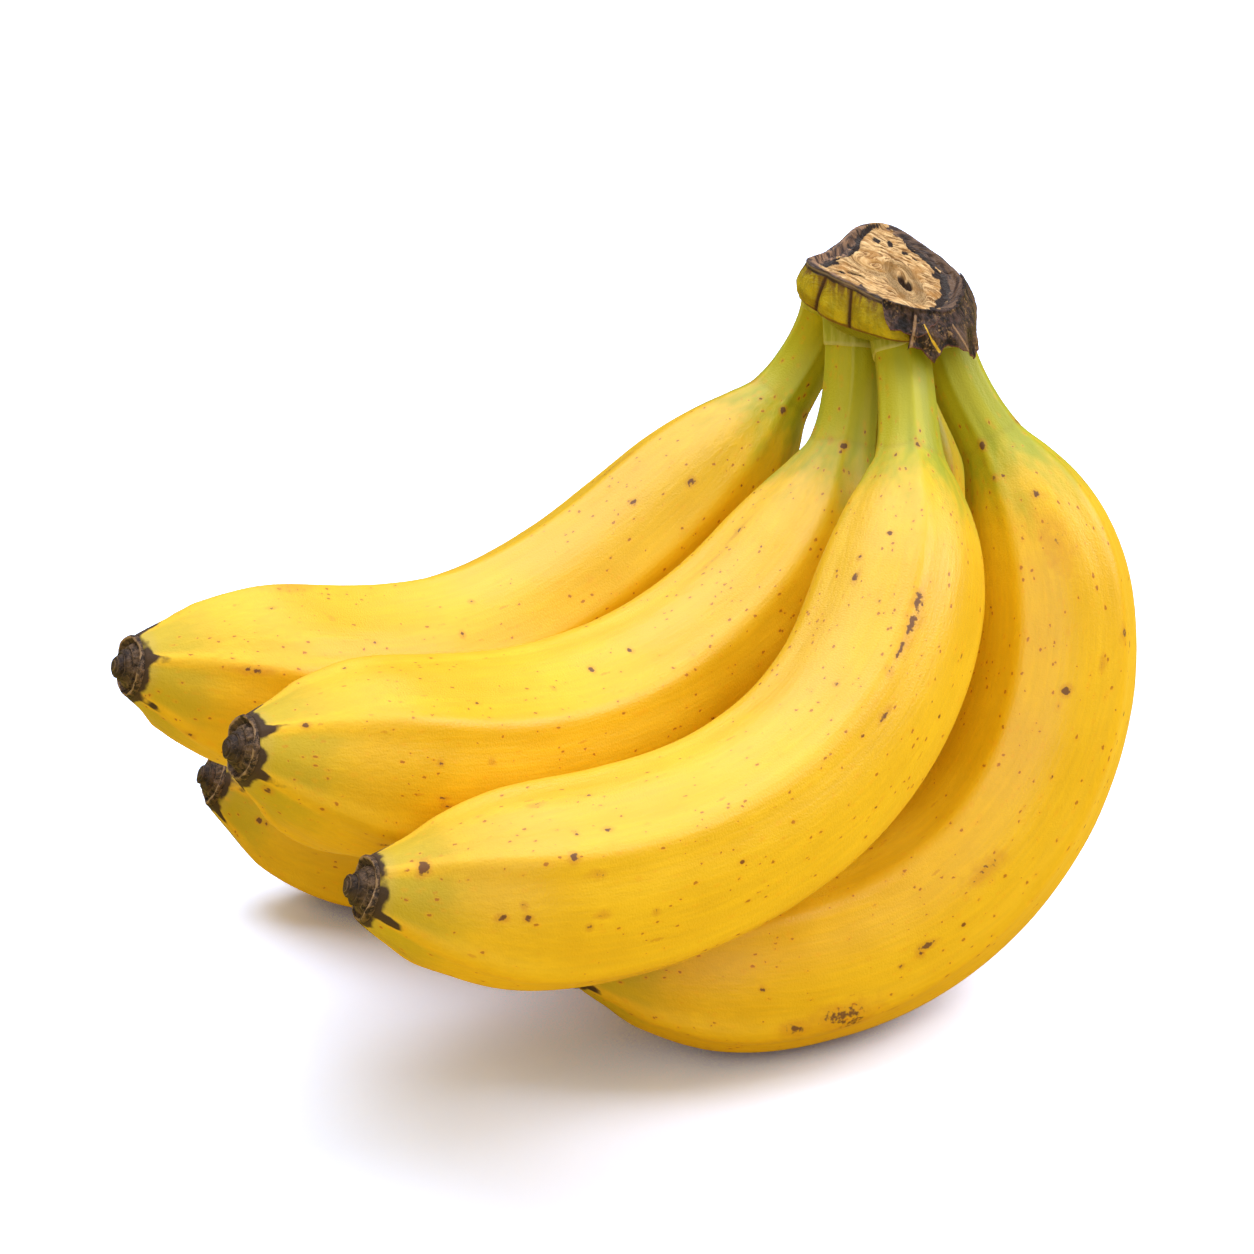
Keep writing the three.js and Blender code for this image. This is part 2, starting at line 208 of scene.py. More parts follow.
def along(table, x):
    """Smooth value of a [position, value] table at x: the cubic Hermite curve through the
    rows, with the slope of each row taken from its two neighbours."""
    xs, ys = np.array(table, float).T
    last = len(xs) - 1
    row = np.arange(last + 1)
    before, after = np.maximum(row - 1, 0), np.minimum(row + 1, last)
    slope = (ys[after] - ys[before]) / (xs[after] - xs[before])
    i = np.clip(np.searchsorted(xs, x) - 1, 0, last - 1)
    step = xs[i + 1] - xs[i]
    t = np.clip((x - xs[i]) / step, 0, 1)
    return (ys[i] * (1 + 2 * t) * (1 - t) ** 2 + slope[i] * step * t * (1 - t) ** 2
            + ys[i + 1] * t * t * (3 - 2 * t) + slope[i + 1] * step * t * t * (t - 1))


def noise(points, size, seed):
    """Smooth noise from -1 to 1: random values on the corners of cubes `size` wide, mixed
    across each cube with the weight t*t*(3 - 2*t) on each axis."""
    cell = np.asarray(points, float) / size
    base = np.floor(cell).astype(np.int64)
    t = cell - base
    t = t * t * (3 - 2 * t)
    total = np.zeros(cell.shape[:-1])
    for corner in np.ndindex(2, 2, 2):
        x, y, z = np.moveaxis(base + corner, -1, 0)
        code = (x * 73856093 ^ y * 19349663 ^ z * 83492791 ^ (seed + 7) * 2654435) & 0x7FFFFFFF
        code = (code ^ (code >> 13)) * 1274126177 & 0x7FFFFFFF
        weight = np.prod(np.where(corner, t, 1 - t), axis=-1)
        total += weight * (((code ^ (code >> 15)) & 0xFFFF) / 32767.5 - 1)
    return total


def layered(points, size, seed, layers=3):
    """Sum of noise at halving sizes and halving strengths, from about -1 to 1."""
    return sum(noise(points, size / 2 ** k, seed + 31 * k) / 2 ** k for k in range(layers)) / 1.5


def smooth(low, high, x):
    """0 below low, 1 above high, and t*t*(3 - 2*t) between."""
    t = np.clip((x - low) / (high - low), 0, 1)
    return t * t * (3 - 2 * t)


def bell(x, width, power=2):
    """1 at x = 0, and falls off on both sides as exp(-(x / width)^power)."""
    return np.exp(-(x / width) ** power)


def normalised(v):
    return v / np.linalg.norm(v, axis=-1, keepdims=True)


def grid_of(x, y, z):
    """Points of a grid from their coordinates, each spread over the whole grid."""
    return np.stack(np.broadcast_arrays(x, y, z), -1)


def full_turn(columns):
    """Angles of the columns, evenly round one turn."""
    return np.linspace(0, 2 * np.pi, columns, endpoint=False)[None]


def profile_at(profile, rows):
    """Places evenly along a profile, and its values there, straight between its points."""
    v = np.linspace(0, len(profile) - 1, rows)
    return v, *(np.interp(v, range(len(profile)), values) for values in np.array(profile, float).T)


def rings(centre, across, over, radius, angle):
    """Points round a line: centre + across * r * cos(angle) + over * r * sin(angle)."""
    return (centre + across * (radius * np.cos(angle))[..., None]
            + over * (radius * np.sin(angle))[..., None])


def add_piece(name, grid, ends, masks, material, node):
    """Closed mesh through a grid of points, rows by columns, in millimetres. The columns
    wrap round, and the first and last rows close to the two end points."""
    rows, columns = grid.shape[:2]
    points = np.concatenate([[ends[0]], grid.reshape(-1, 3), [ends[1]]]) * MM
    start = 1 + np.arange(rows - 1)[:, None] * columns
    here = np.arange(columns)[None]
    ahead = (here + 1) % columns
    above = start + columns
    quads = np.stack([start + here, start + ahead, above + ahead, above + here], -1)
    top = 1 + (rows - 1) * columns
    first = np.stack([0 * here[0], 1 + ahead[0], 1 + here[0]], -1)
    last = np.stack([top + here[0], top + ahead[0], 0 * here[0] + len(points) - 1], -1)
    mesh = bpy.data.meshes.new(name)
    mesh.from_pydata(points, [], quads.reshape(-1, 4).tolist() + first.tolist() + last.tolist())
    mesh.shade_smooth()
    for mask, values in masks.items():
        flat = values.reshape(rows * columns, -1)
        flat = np.concatenate([flat[:columns].mean(0)[None], flat, flat[-columns:].mean(0)[None]])
        kind, key = ("FLOAT_VECTOR", "vector") if flat.shape[1] == 3 else ("FLOAT", "value")
        attribute = mesh.attributes.new(mask, kind, "POINT")
        attribute.data.foreach_set(key, flat.astype(np.float32).ravel())
    mesh.materials.append(material)
    piece = bpy.data.objects.new(name, mesh)
    bpy.context.scene.collection.objects.link(piece)
    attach(piece, "root")
    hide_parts(node)


def centre_line(path, distances):
    """Points at the given distances along the Bezier curve B(t) = sum comb(5, i) t^i
    (1 - t)^(5 - i) P_i, straight on past its ends, with the tangent, the direction out of
    the bend and the one to its side at each point. Also the curve's length."""
    path = np.array(path, float)
    t = np.linspace(0, 1, 2001)[:, None]
    order = len(path) - 1
    curve = sum(math.comb(order, i) * t ** i * (1 - t) ** (order - i) * path[i]
                for i in range(order + 1))
    length = np.concatenate([[0], np.cumsum(np.linalg.norm(np.diff(curve, axis=0), axis=1))])
    slope = normalised(np.gradient(curve, axis=0))
    s = distances(length[-1])
    inside = np.clip(s, 0, length[-1])
    centre = np.stack([np.interp(inside, length, curve[:, k]) for k in range(3)], -1)
    tangent = normalised(np.stack([np.interp(inside, length, slope[:, k]) for k in range(3)], -1))
    centre = centre + tangent * (s - inside)[:, None]
    bend = normalised(np.cross(path[3] - path[0], path[5] - path[0]))
    side = normalised(bend - (tangent @ bend)[:, None] * tangent)
    return s, centre, tangent, np.cross(side, tangent), side, length[-1]


def around(angle, degrees):
    """Signed angle from the given degrees, from -pi to pi."""
    return np.angle(np.exp(1j * (angle - np.radians(degrees))))


def peel_grid(fruit, s, angle, length):
    """Radius of a fruit at distance s and an angle: girth(b) * (1 + ridge(b) * (w - 0.24)),
    w = exp(3 (cos u - 1)), where b is the share past the stalk and u is five times the
    angle from the nearest ridge."""
    share = (s - fruit["stalk"]) / (length - fruit["stalk"])
    u = 5 * (angle - np.radians(along(fruit["ridge"], share)))
    ridge = np.exp(3 * (np.cos(u) - 1))
    girth = along(GIRTH, share)
    return girth * (1 + along(RIDGES, share) * (ridge - 0.24)), share, ridge, girth


def add_fruit(name, fruit, seed, material):
    """Peel of one fruit: rings of radius r(s, angle) along its centre line, which turns near
    its end to face as the flower does, with slow swells, and never below the ground."""
    rows, columns = 380, 144
    even = np.linspace(0, 1, rows)
    eased = 0.6 * even + 0.4 * (1 - np.cos(np.pi * even)) / 2
    s, centre, tangent, out, side, length = centre_line(fruit["path"], lambda whole: eased * whole)
    turned = smooth(length - TIP_TURN, length, s)[:, None]
    facing = normalised(np.array(fruit["flower"]))
    centre = centre + facing * turned ** 3 * TIP_DRAWN
    tangent = normalised(tangent * (1 - turned) + facing * turned)
    side = normalised(side - (side * tangent).sum(-1, keepdims=True) * tangent)
    out = np.cross(side, tangent)
    s = s[:, None]
    angle = full_turn(columns)
    radius, share, ridge, girth = peel_grid(fruit, s, angle, length)
    cos, sin = np.cos(angle), np.sin(angle)
    straight = grid_of(girth * cos, girth * sin, s)
    body = smooth(0.02, 0.2, share) * smooth(1.0, 0.9, share)
    radius = radius + SWELL * body * layered(straight, SWELL_WIDTH, seed)
    wander = 0.8 * noise(grid_of(9 * cos, 9 * sin, 0 * s), 5, seed + 1)
    crease = bell(s - fruit["stalk"] - wander + 1.2 * ridge, 0.55)
    radius = radius - CREASE * crease
    grid = rings(centre[:, None], out[:, None], side[:, None], radius, angle)
    grid[..., 2] = np.maximum(grid[..., 2], 0)
    from_tip = np.broadcast_to(length - s, radius.shape)
    scar = np.zeros(radius.shape)
    for at, degrees, long, wide, strength in MARKS[name]:
        across = girth * around(angle, degrees)
        away = (share - at) * (length - fruit["stalk"])
        scar = np.maximum(scar, strength * np.exp(-(away / long) ** 2 - (across / wide) ** 2))
    ring = bell(from_tip, 1.5 + 3.2 * smooth(0.35, 0.95, ridge))
    masks = {
        "straight": straight * MM,
        "share": np.broadcast_to(share, radius.shape),
        "from_tip": from_tip * MM,
        "ridge": ridge + 0 * radius,
        "scar": scar,
        "bruise": ring * (0.75 + 0.5 * noise(straight, 2.2, seed + 3)),
        "crease": crease + 0 * radius,
    }
    add_piece(f"peel_{name}", grid, (centre[0], centre[-1]), masks, material,
              f"banana_{name}")
    return centre[-1], tangent[-1], out[-1], side[-1]


def add_remnant(name, end, seed, material):
    """Dried flower remnant: its profile turned about the direction that the fruit's end
    faces, with a wavy lip, r * (1 + 0.07 wave(angle)), fine folds, cos(17 angle + ...), in
    the dish behind it, and a swirl, cos(angle - 3.5 h), up the leaning nub."""
    centre, axis, out, side = end
    rows, columns = 120, 120
    v, radius, height = (values[:, None] for values in profile_at(REMNANT, rows))
    angle = full_turn(columns)
    rng = np.random.default_rng(seed)
    phase = rng.uniform(0, 2 * np.pi, 4)
    lip = smooth(4.2, 5.5, radius)
    dish = smooth(3.0, 3.8, radius) * smooth(5.4, 4.6, radius)
    place = grid_of(radius * np.cos(angle), radius * np.sin(angle), height)
    wave = (0.5 * np.cos(2 * angle + phase[0]) + 0.3 * np.cos(3 * angle + phase[1])
            + 0.2 * np.cos(5 * angle))
    folds = np.cos(17 * angle + 2 * np.cos(3 * angle + phase[2]) + 0.6 * height)
    swirl = np.cos(angle + phase[3] - 3.5 * height)
    r = radius * (1 + 0.07 * lip * wave) + 0.10 * dish * folds + 0.14 * (1 - lip) * swirl
    r = np.maximum(r + 0.12 * layered(place, 1.2, seed + 5), 0.15)
    h = height + 0.6 * lip * wave - 0.5 * dish * (0.5 + 0.5 * np.cos(angle + phase[0]))
    h = h + 0.18 * layered(place, 1.5, seed + 9) * smooth(-0.8, 0.4, height)
    lean = 0.4 * smooth(1, 4, height)
    grid = (centre + axis * h[..., None]
            + out * (r * np.cos(angle) + lean * math.cos(phase[1]))[..., None]
            + side * (r * np.sin(angle) + lean * math.sin(phase[1]))[..., None])
    # painted highlight along the edges of the steps
    step_highlight = sum(bell(v - at, 0.45) for at in REMNANT_HIGHLIGHT_STEPS)
    masks = {
        "straight": place * MM,
        "lip": bell(v - REMNANT_LIP, 0.8) * (0.8 + 0.4 * noise(place, 2.0, seed)),
        "nub": smooth(1.2, 2.6, height) + 0 * r,
        "step_highlight": step_highlight * (0.6 + 0.7 * noise(place, 1.5, seed + 2)),
        "folds": 0.5 + 0.5 * folds * dish,
    }
    tip = grid[-1].mean(0) - axis * 0.15
    add_piece(f"dried_flower_{name}", grid, (centre - axis * 1.2, tip), masks, material,
              f"remnant_{name}")


tilt_x, tilt_y = (math.sin(math.radians(t)) for t in CROWN_TILT)
FACE_UP = normalised(np.array([tilt_x, -tilt_y, 1.0]))
FACE_RIGHT = normalised(np.cross([0, 1, 0], FACE_UP))
FACE_BACK = np.cross(FACE_UP, FACE_RIGHT)


def face_radius(angle):
    """Radius of the crown's cut face at an angle, smoothly through the outline's values."""
    count = len(CROWN_OUTLINE)
    table = [[k, CROWN_OUTLINE[k % count]] for k in range(-2, count + 3)]
    return along(table, (angle / (2 * np.pi) * count) % count)


def crown_points(angle, radius, height):
    """Points of the crown: rings in the tilted plane of the cut face, moved up by height."""
    flat = rings(np.array(CROWN_TOP), FACE_RIGHT, FACE_BACK, radius, angle)
    return flat + np.array([0, 0, 1]) * height[..., None]


def cut_face(x, y, height, place):
    """Fibres and hollows of the cut face. The fibres follow curves of equal p, where
    p = y + x / 4, blended near the knot and the hole into the distance from each. A tongue
    of pith stands in the hole, and a raised ring goes round it. The hole and the slit, all but the
    tongue, are masked for painted shade."""
    knot = np.hypot((x - KNOT[0]) / 1.25, y - KNOT[1])
    hole = np.hypot((x - HOLE[0] + 0.16 * (y - HOLE[1])) / 0.86, (y - HOLE[1]) / 2.2)
    slit = np.hypot((x - SLIT[0]) / 1.5, (y - SLIT[1]) / 0.7)
    # painted shade in the sunken hole and slit, left off the tongue that stands in the hole
    dark_tongue = np.exp(-((x - 3.0) / 0.28) ** 2 - ((y + 5.6) / 1.3) ** 2)
    hole_shade = bell(hole, 1.65, 6) * (1 - dark_tongue)
    tongue = np.exp(-((x - 3.0) / 0.3) ** 2 - ((y + 5.9) / 1.4) ** 2)
    heart = bell(hole, 1.4, 4) * (1 - 0.9 * tongue)
    by_knot, by_hole = bell(knot, 4.2, 4), bell(hole, 3.4, 4)
    flow = (y + 0.25 * x + 1.3 * noise(place, 5, 4)) * (1 - by_knot) * (1 - by_hole)
    flow = flow + by_knot * (1.2 * knot + 0.5 * noise(place, 2, 6)) + by_hole * (1.2 * hole + 20)
    swirl = grid_of(flow, 0.2 * height, x + 0.4 * y)
    fibre = 1 - 2 * np.abs(noise(swirl * np.array([2.4, 1, 0.45]), 1, 8))
    fibre = 0.6 * fibre + 0.4 * (1 - 2 * np.abs(noise(swirl * np.array([5.0, 1, 1.1]), 1, 9)))
    return {
        "swirl": swirl,
        "fibre": fibre,
        "relief": (0.25 * bell(hole - 2.1, 0.5) - 0.35 * bell(knot - 1.2, 0.5)
                   - 2.0 * heart - 1.0 * np.exp(-slit ** 4)),
        "hollow_shade": np.maximum(hole_shade, bell(slit, 1.25, 4)),
        "knot": bell(knot - 2.3, 1.0),
    }


def burnt_edge(x, y, share, degrees, place):
    """How far the cut face is burnt, and where its pith still shows: a torn edge at a share
    of the outline, a dark band on it that fades inwards, and the dark spots."""
    torn = layered(place, 3.5, 41)
    edge = along(PITH_EDGE, degrees)
    burnt = along(CHAR, degrees)
    ragged = 0.10 * torn * (1.1 - smooth(0.9, 1.0, edge)) + 0.05 * noise(place, 1.1, 43)
    pith = smooth(0.035, -0.035, share - edge - ragged)
    spots = sum(np.exp(-(((x - a) / wide) ** 2 + ((y - b) / deep) ** 2) ** 2)
                for a, b, wide, deep in SPOTS)
    band = burnt * bell(share - edge - 0.02 + 0.06 * torn, 0.05)
    inwards = burnt * smooth(edge - 0.22, edge, share) * (0.6 + 0.8 * noise(place, 1.6, 47))
    return np.clip(0.85 * spots + band * (1 + 0.5 * torn) + 0.40 * inwards, 0, 1.2), pith


def add_crown(material):
    """Crown: rows climb the wall's profile and cross the cut face to its centre, columns go
    round it. The wall is drawn in at its creases, by exp(-distance / 1.1 mm)."""
    wall_rows, face_rows, columns = 72, 144, 360
    _, share, add, height = profile_at(CROWN_WALL, wall_rows)
    share = np.concatenate([share, np.linspace(0.995, 0.01, face_rows)])[:, None]
    add = np.concatenate([add, np.zeros(face_rows)])[:, None]
    height = np.concatenate([height, np.full(face_rows, 0.25)])[:, None]
    on_face = np.concatenate([np.zeros(wall_rows), np.ones(face_rows)])[:, None]
    angle = full_turn(columns)
    degrees = np.degrees(around(angle, 0))
    from_corner = around(angle, RIM_CORNER)
    outline = face_radius(angle)
    crease, seam = 0, 0
    for at, turn in CROWN_SEAMS:
        away = outline * np.abs(around(angle, at) - np.radians(turn) * height / -9)
        crease = np.maximum(crease, np.exp(-away / 1.1))
        seam = np.maximum(seam, bell(away, 0.28) + 0.45 * bell(away, 1.0))
    wide = 1 + 0.7 * bell(from_corner, 0.45)
    radius = outline * share + add * wide * (1 - 0.7 * crease)
    x, y = radius * np.cos(angle), radius * np.sin(angle)
    place = grid_of(x, y, height)
    face = cut_face(x, y, height, place)
    char, pith = burnt_edge(x, y, share, degrees, place)

    # The wall's depth varies round the crown, and the skirt below it keeps its own
    depth = along(CROWN_DEPTH, degrees)
    h = np.where(height > SKIRT, height * depth, height - SKIRT * (1 - depth))
    rim = smooth(0.86, 0.97, share) * on_face
    rough = 0.34 * face["fibre"] + 0.55 * layered(place, 5, 12) - 0.35 * char
    h = h + on_face * (-0.9 + rough + face["relief"]) * (1 - rim)
    h = h + 0.45 * rim * (1 + layered(place, 3, 5)) * smooth(1.0, 0.92, share)
    h = h - RIM_DIP * bell(np.degrees(from_corner), 24) * smooth(0.5, 1.0, share) * smooth(-8, 0, height)
    radius = radius + 0.28 * (1 - on_face) * layered(place, 4, 22) * smooth(-14, -10, height)
    grid = crown_points(angle + 0 * radius, radius, h)
    front = smooth(-86, -100, degrees) * smooth(-190, -175, degrees)
    masks = {
        "place": place * MM,
        "flow": face["swirl"] * MM,
        "round": grid_of(radius, height, outline * angle) * MM,
        "pith": pith * on_face,
        "fibre": face["fibre"] * on_face,
        "hollow_shade": face["hollow_shade"] * on_face,
        "knot": face["knot"] * on_face,
        "char": char * on_face,
        "seam": seam * (1 - on_face) * smooth(-10.2, -9.4, height),
        # painted shade: the wall darkens towards the creases where it is drawn in
        "crease_shade": np.clip(crease, 0, 1) * (1 - on_face),
        "below_rim": height + 0 * radius,
        "skin_line": front * bell(height + 0.35, 0.22) * (1 - on_face),
        "dry_side": smooth(96, 62, np.abs(np.degrees(around(angle, 4)))) + 0 * radius,
    }
    add_piece("crown_body", grid, (grid[0].mean(0), grid[-1].mean(0)), masks, material,
              "crown")


def add_bract(name, lobe, material):
    """Lobe of the dried bract over the front right of the crown: rows go round the crown,
    and columns go down the inner side to the ragged edge and back up the outer side.
    Between two tips the edge rises to the notch as sin(pi t^0.65)^0.8."""
    rows, down = 200, 44
    tips = np.array(lobe["tips"], float)
    degrees = np.linspace(tips[0, 0], tips[-1, 0], rows)
    k = np.clip(np.searchsorted(tips[:, 0], degrees) - 1, 0, len(tips) - 2)
    t = (degrees - tips[k, 0]) / (tips[k + 1, 0] - tips[k, 0])
    straight = tips[k, 1] * (1 - t) + tips[k + 1, 1] * t
    notch = np.array(lobe["notches"])[k]
    arch = np.sin(np.pi * np.clip(t, 0, 1) ** 0.65) ** 0.8
    edge = straight + (notch - (tips[k, 1] + tips[k + 1, 1]) / 2) * arch
    edge = edge + 0.25 * noise(grid_of(degrees, 0, 0), 2.5, 66)
    v = np.linspace(0, 1, down)[None]
    turned = degrees[:, None] + lobe["turn"] * np.linspace(1, 0, rows)[:, None] * v
    angle = np.radians(turned)
    low = edge[:, None] * v + 0.3 * (1 - v)
    wall = face_radius(angle)
    spot = grid_of(wall * angle, low, 0)
    fold_and_shading = layered(spot, 2.6, 61)
    pleat = along(lobe["folds"], turned) * smooth(0.1, 0.9, v)
    flare = 2.1 * smooth(0, 4, -low) + 1.3 * v ** 3 + 0.45 * fold_and_shading + 0.8 * pleat
    flare = flare * (1 - 0.45 * smooth(-34, -12, turned)) + lobe["off"] * smooth(0, 0.4, v)
    flare = flare + 0.25 * np.abs(noise(spot * np.array([2.0, 0.3, 1]), 1.3, 63))
    thick = 0.55 * (1 - 0.6 * v)
    outer = wall + 0.2 + flare + thick / 2
    inner = outer - thick

    def both_ways(outside, inside=None):
        """Columns down the inner side and back up the outer side, which have the same values
        if only one is given."""
        return np.concatenate([outside if inside is None else inside, outside[:, ::-1]], 1)

    def line(a0, h0, a1, h1, width, strength):
        """Fades from its strength on the line between two places of angle and height."""
        run, drop = wall * math.radians(a1 - a0), h1 - h0
        x, y = wall * (angle - math.radians(a0)), low - h0
        t = np.clip((x * run + y * drop) / (run ** 2 + drop ** 2), 0, 1)
        return strength * bell(np.hypot(x - t * run, y - t * drop), width)

    grid = crown_points(both_ways(angle), both_ways(outer, inner), both_ways(low))
    masks = {
        "place": grid * MM,
        "edge": both_ways(smooth(0.90, 1.0, v) + 0 * low),
        # the folds' height, also used for a painted highlight on outward folds and painted shade in
        # inward ones
        "fold_and_shading": both_ways(0.6 * fold_and_shading + 0.7 * pleat),
        "splinter": both_ways(np.max([line(*row) for row in SPLINTERS], axis=0)),
        "crest": both_ways(np.max([line(*row) for row in CRESTS], axis=0)),
    }
    add_piece(f"dried_bract_{name}", grid, (grid[0].mean(0), grid[-1].mean(0)), masks, material,
              "crown")


def add_collar(name, fruit, seed, material):
    """Collar round the top of a stalk: the stalk's own section, swollen down to a rounded
    wavy edge, and closed inside the stalk."""
    rows, columns = 36, 96
    _, down, thick = profile_at(COLLAR_PROFILE, rows)
    angle = full_turn(columns)
    reach, swell = COLLARS[name]
    s, centre, tangent, out, side, length = centre_line(
        fruit["path"], lambda whole: down * reach + 1e-6)
    s, down = s[:, None], down[:, None]
    radius, _, _, girth = peel_grid(fruit, s, angle, length)
    cos, sin = np.cos(angle), np.sin(angle)
    spot = grid_of(6 * cos, 6 * sin, s)
    slide = (0.3 * np.cos(angle + seed) + 0.4 * noise(spot, 4, seed)) * smooth(0.3, 1, down)
    radius = radius + swell * thick[:, None] + 0.12 * noise(spot, 3, seed + 1)
    slid = centre[:, None] + tangent[:, None] * slide[..., None]
    grid = rings(slid, out[:, None], side[:, None], radius, angle)
    masks = {
        "straight": grid_of(girth * cos, girth * sin, s) * MM,
        "edge": smooth(0.8, 1.0, down) + 0 * radius,
    }
    add_piece(f"collar_{name}", grid, (centre[0], centre[-1]), masks, material,
              "crown")


def add_shoulder(name, fruit, seed, material):
    """Shoulder that carries a stalk into the crown: round sections of radius r(v) along
    the curve (1 - v)^2 A + 2 v (1 - v) B + v^2 C, from the stalk at A to the crown at C."""
    start, reach, inside = SHOULDERS[name]
    rows, columns = 44, 72
    _, centre, tangent, _, side, _ = centre_line(fruit["path"], lambda whole: np.array([start]))
    a = centre[0]
    b, c = a - tangent[0] * reach, np.array(inside, float)
    v = np.linspace(0, 1, rows)[:, None]
    line = (1 - v) ** 2 * a + 2 * v * (1 - v) * b + v ** 2 * c
    ahead = normalised((1 - v) * (b - a) + v * (c - b))
    across = normalised(side[0] - (ahead @ side[0])[:, None] * ahead)
    over = np.cross(across, ahead)
    angle = full_turn(columns)
    spot = grid_of(6 * np.cos(angle), 6 * np.sin(angle), 14 * v)
    fluted = np.cos(9 * angle + 2 * noise(spot, 6, seed)) * (v > 0.05)
    radius = along(SHOULDER_RADIUS, v) + 0.35 * layered(spot, 4, seed) + 0.12 * fluted
    grid = rings(line[:, None], over[:, None], across[:, None], radius, angle)
    masks = {"straight": spot * MM, "edge": smooth(0.14, 0.02, v) + 0 * radius}
    add_piece(f"shoulder_{name}", grid, (line[0], line[-1]), masks, material,
              "crown")


def new_node(tree, kind, inputs=None, **settings):
    """Adds a shader node. Inputs are sockets to link or values to set."""
    made = tree.nodes.new(kind)
    for key, value in settings.items():
        setattr(made, key, value)
    for key, value in (inputs or {}).items():
        if isinstance(value, bpy.types.NodeSocket):
            tree.links.new(value, made.inputs[key])
        else:
            made.inputs[key].default_value = value
    return made


def new_group(name, inputs, outputs):
    """Node group with named sockets. Inputs have a number each, or None for a vector."""
    tree = bpy.data.node_groups.new(name, "ShaderNodeTree")
    for label, value in inputs.items():
        kind = "NodeSocketVector" if value is None else "NodeSocketFloat"
        socket = tree.interface.new_socket(label, in_out="INPUT", socket_type=kind)
        if value is not None:
            socket.default_value = value
    for label in outputs:
        tree.interface.new_socket(label, in_out="OUTPUT", socket_type="NodeSocketFloat")
    return tree, tree.nodes.new("NodeGroupInput").outputs, tree.nodes.new("NodeGroupOutput").inputs


def use(tree, group, **inputs):
    """Adds a node group, and returns its outputs."""
    return new_node(tree, "ShaderNodeGroup", inputs, node_tree=group).outputs


def maths(tree, operation, a, b):
    return new_node(tree, "ShaderNodeMath", {0: a, 1: b}, operation=operation).outputs[0]


def ramp(tree, value, low, high, bottom=0.0, top=1.0):
    """Smooth step of a value between low and high, from bottom to top."""
    inputs = {"Value": value, "From Min": low, "From Max": high, "To Min": bottom, "To Max": top}
    made = new_node(tree, "ShaderNodeMapRange", inputs, interpolation_type="SMOOTHSTEP")
    return made.outputs["Result"]


def mix(tree, factor, a, b):
    """Mixes two colours, each of them a socket or three numbers."""
    a, b = (c if isinstance(c, bpy.types.NodeSocket) else (*c, 1) for c in (a, b))
    return new_node(tree, "ShaderNodeMix", {0: factor, 6: a, 7: b}, data_type="RGBA").outputs[2]


def paint(tree, colour, *coats):
    """Lays coats over a colour, one by one. A coat is a value to cover by, the share of it
    to take, or the limits of a ramp to put it through, or None, and the coat's own colour."""
    for cover, how, over in coats:
        if isinstance(how, tuple):
            cover = ramp(tree, cover, *how)
        elif how is not None:
            cover = maths(tree, "MULTIPLY", cover, how)
        colour = mix(tree, cover, colour, over)
    return colour


def texture(tree, place, scale, detail, colour=False):
    """Noise from 0 to 1, or a colour of three such values."""
    inputs = {"Vector": place, "Scale": scale, "Detail": detail}
    return new_node(tree, "ShaderNodeTexNoise", inputs).outputs[1 if colour else 0]


def vectors(tree, operation, a, b):
    return new_node(tree, "ShaderNodeVectorMath", {0: a, 1: b}, operation=operation).outputs[0]


def ragged(tree, cover, place, scale, rough, threshold, softness):
    """Mask with a ragged edge, by the node group of that name."""
    return use(tree, RAGGED, Mask=cover, Vector=place, Scale=scale, Rough=rough,
               Threshold=threshold, Softness=softness)[0]


def streaks(tree, place, scale, stretch, detail):
    """Streaks along the third axis, from 0 to 1, by the node group of the long grain."""
    return use(tree, GRAIN, Vector=place, Scale=scale, Stretch=stretch, Detail=detail)[0]


def mask(tree, name, vector=False):
    """One of the mesh's own attributes."""
    made = new_node(tree, "ShaderNodeAttribute", attribute_name=name)
    return made.outputs["Vector" if vector else "Fac"]


def masks_of(tree, *names):
    """Several of the mesh's own attributes, one number each."""
    return [mask(tree, name) for name in names]


def new_material(name):
    made = bpy.data.materials.new(name)
    made.use_nodes = True
    return made, made.node_tree, made.node_tree.nodes["Principled BSDF"]


def finish_material(tree, shader, colour, roughness, *bumps):
    """Links colour, roughness and bumps, each of these given as height, distance, strength."""
    normal = {}
    for height, distance, strength in bumps:
        inputs = {"Height": height, "Distance": distance, "Strength": strength, **normal}
        normal = {"Normal": new_node(tree, "ShaderNodeBump", inputs).outputs[0]}
    results = {"Base Color": colour, "Roughness": roughness, **normal}
    for socket, value in results.items():
        tree.links.new(value, shader.inputs[socket])


def squeezed(tree, vector, stretch):
    """Vector with its third axis scaled by the stretch."""
    scale = new_node(tree, "ShaderNodeCombineXYZ", {0: 1.0, 1: 1.0, 2: stretch}).outputs[0]
    return vectors(tree, "MULTIPLY", vector, scale)


# Metres that a shake moves the specks, and width of their halo as a multiple of their own
SHAKE, HALO = 0.0005, 2.6


def make_grain():
    """Stretched noise: streaks along the third axis, from 0 to 1."""
    tree, given, result = new_group(
        "long_grain", {"Vector": None, "Scale": 900.0, "Stretch": 0.06, "Detail": 3.0}, ["Value"])
    place = squeezed(tree, given["Vector"], given["Stretch"])
    grain = texture(tree, place, given["Scale"], given["Detail"])
    tree.links.new(grain, result["Value"])
    return tree


